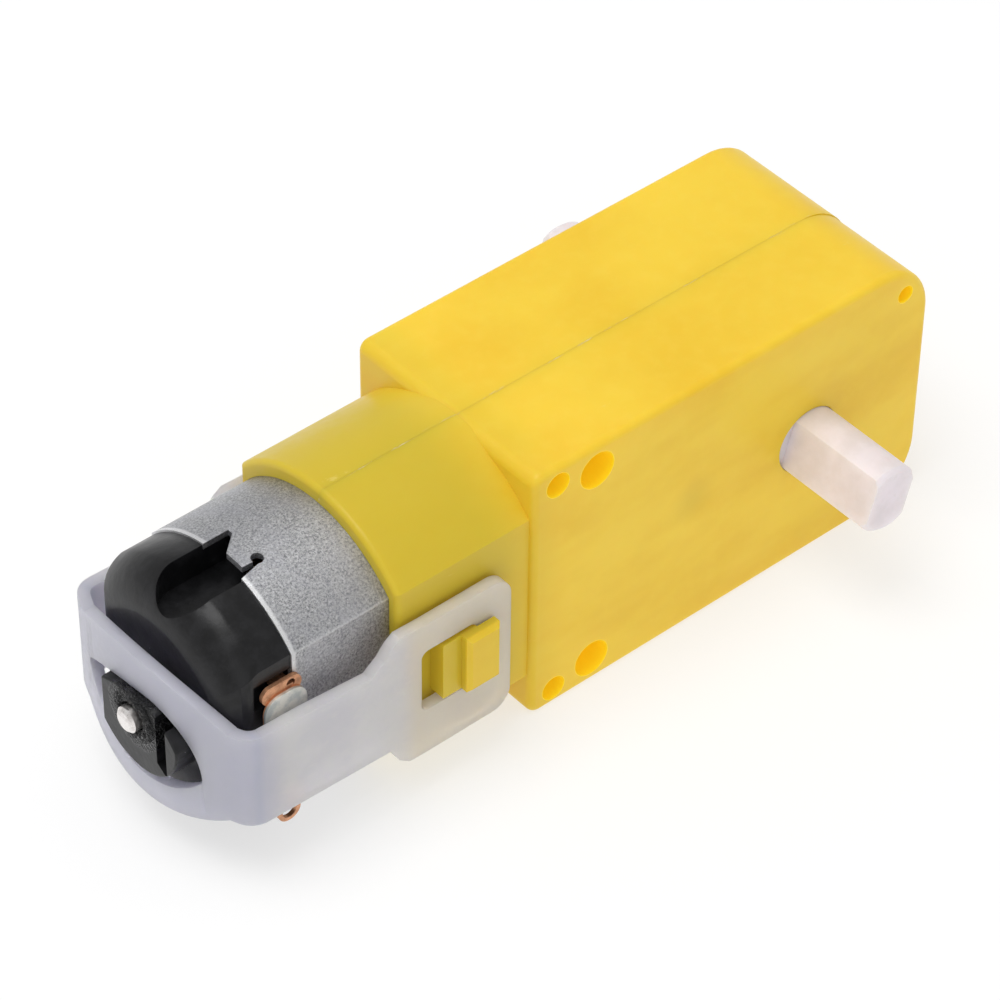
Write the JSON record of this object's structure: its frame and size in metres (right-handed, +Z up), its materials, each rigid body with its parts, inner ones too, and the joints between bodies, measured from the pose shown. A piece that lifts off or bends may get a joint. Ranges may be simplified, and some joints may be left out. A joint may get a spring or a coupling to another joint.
{
  "type": "geared dc motor",
  "caption": "Right-angle geared DC motor: a can motor strapped into a two-shell plastic gearbox with a double-flat output shaft on both sides.",
  "frame": {"origin": "on the output shaft's axis, half way between the gearbox's two wide faces", "axes": "+X along the motor axis from the motor towards the gearbox's free end; +Y along the output shaft; +Z up, with the motor lying on its narrow long side"},
  "size_m": [0.0699, 0.0356, 0.0226],
  "materials": {
    "shell": "satin moulded",
    "strap": "translucent moulded",
    "screw_steel": "plated",
    "pin_steel": "ground",
    "gear_plastic": "moulded acetal",
    "output_plastic": "moulded nylon",
    "can_steel": "zinc plated, spangled",
    "bush_bronze": "sintered",
    "cap_plastic": "satin nylon",
    "magnet_ferrite": "ground ferrite",
    "spring_steel": "bright",
    "shaft_steel": "polished",
    "core_iron": "laminated",
    "copper_wire": "enamelled",
    "copper": "bright",
    "terminal_copper": "tarnished"
  },
  "bodies": {
    "housing": {"gearbox_shell_near": "shell", "gearbox_shell_far": "shell", "motor_strap": "strap", "shell_screws_motor_end": "screw_steel", "shell_screws_free_end": "screw_steel", "idler_pin": "pin_steel", "idler_spacer": "gear_plastic", "motor_can": "can_steel", "front_bush": "bush_bronze", "rear_bush": "bush_bronze", "end_cap": "cap_plastic", "magnet_upper": "magnet_ferrite", "magnet_lower": "magnet_ferrite", "magnet_springs": "spring_steel", "brush_upper": "copper", "brush_lower": "copper", "terminal_upper": "terminal_copper", "terminal_lower": "terminal_copper"},
    "rotor": {"rotor_shaft": "shaft_steel", "motor_pinion": "gear_plastic", "armature_core": "core_iron", "armature_windings": "copper_wire", "commutator_base": "cap_plastic", "commutator_segments": "copper"},
    "crown_gear": {"crown_gear": "gear_plastic"},
    "first_idler": {"first_idler_gear": "gear_plastic"},
    "second_idler": {"second_idler_gear": "gear_plastic"},
    "output": {"output_shaft": "output_plastic", "output_gear": "gear_plastic"}
  },
  "joints": [
    {"name": "rotor_spin", "type": "hinge", "parent": "housing", "child": "rotor", "pos_m": [0, -0.0005, 0], "axis": [1, 0, 0], "continuous": true},
    {"name": "crown_spin", "type": "hinge", "parent": "housing", "child": "crown_gear", "pos_m": [-0.012, 0, 0], "axis": [0, 1, 0], "continuous": true},
    {"name": "first_idler_spin", "type": "hinge", "parent": "housing", "child": "first_idler", "pos_m": [0, 0, 0], "axis": [0, 1, 0], "continuous": true},
    {"name": "second_idler_spin", "type": "hinge", "parent": "housing", "child": "second_idler", "pos_m": [-0.012, 0, 0], "axis": [0, 1, 0], "continuous": true},
    {"name": "output_spin", "type": "hinge", "parent": "housing", "child": "output", "pos_m": [0, 0, 0], "axis": [0, 1, 0], "continuous": true}
  ],
  "couplings": [
    {"joint": "crown_spin", "follows": "rotor_spin", "ratio": -0.25},
    {"joint": "first_idler_spin", "follows": "rotor_spin", "ratio": 0.083333},
    {"joint": "second_idler_spin", "follows": "rotor_spin", "ratio": -0.041667},
    {"joint": "output_spin", "follows": "rotor_spin", "ratio": 0.020833}
  ]
}
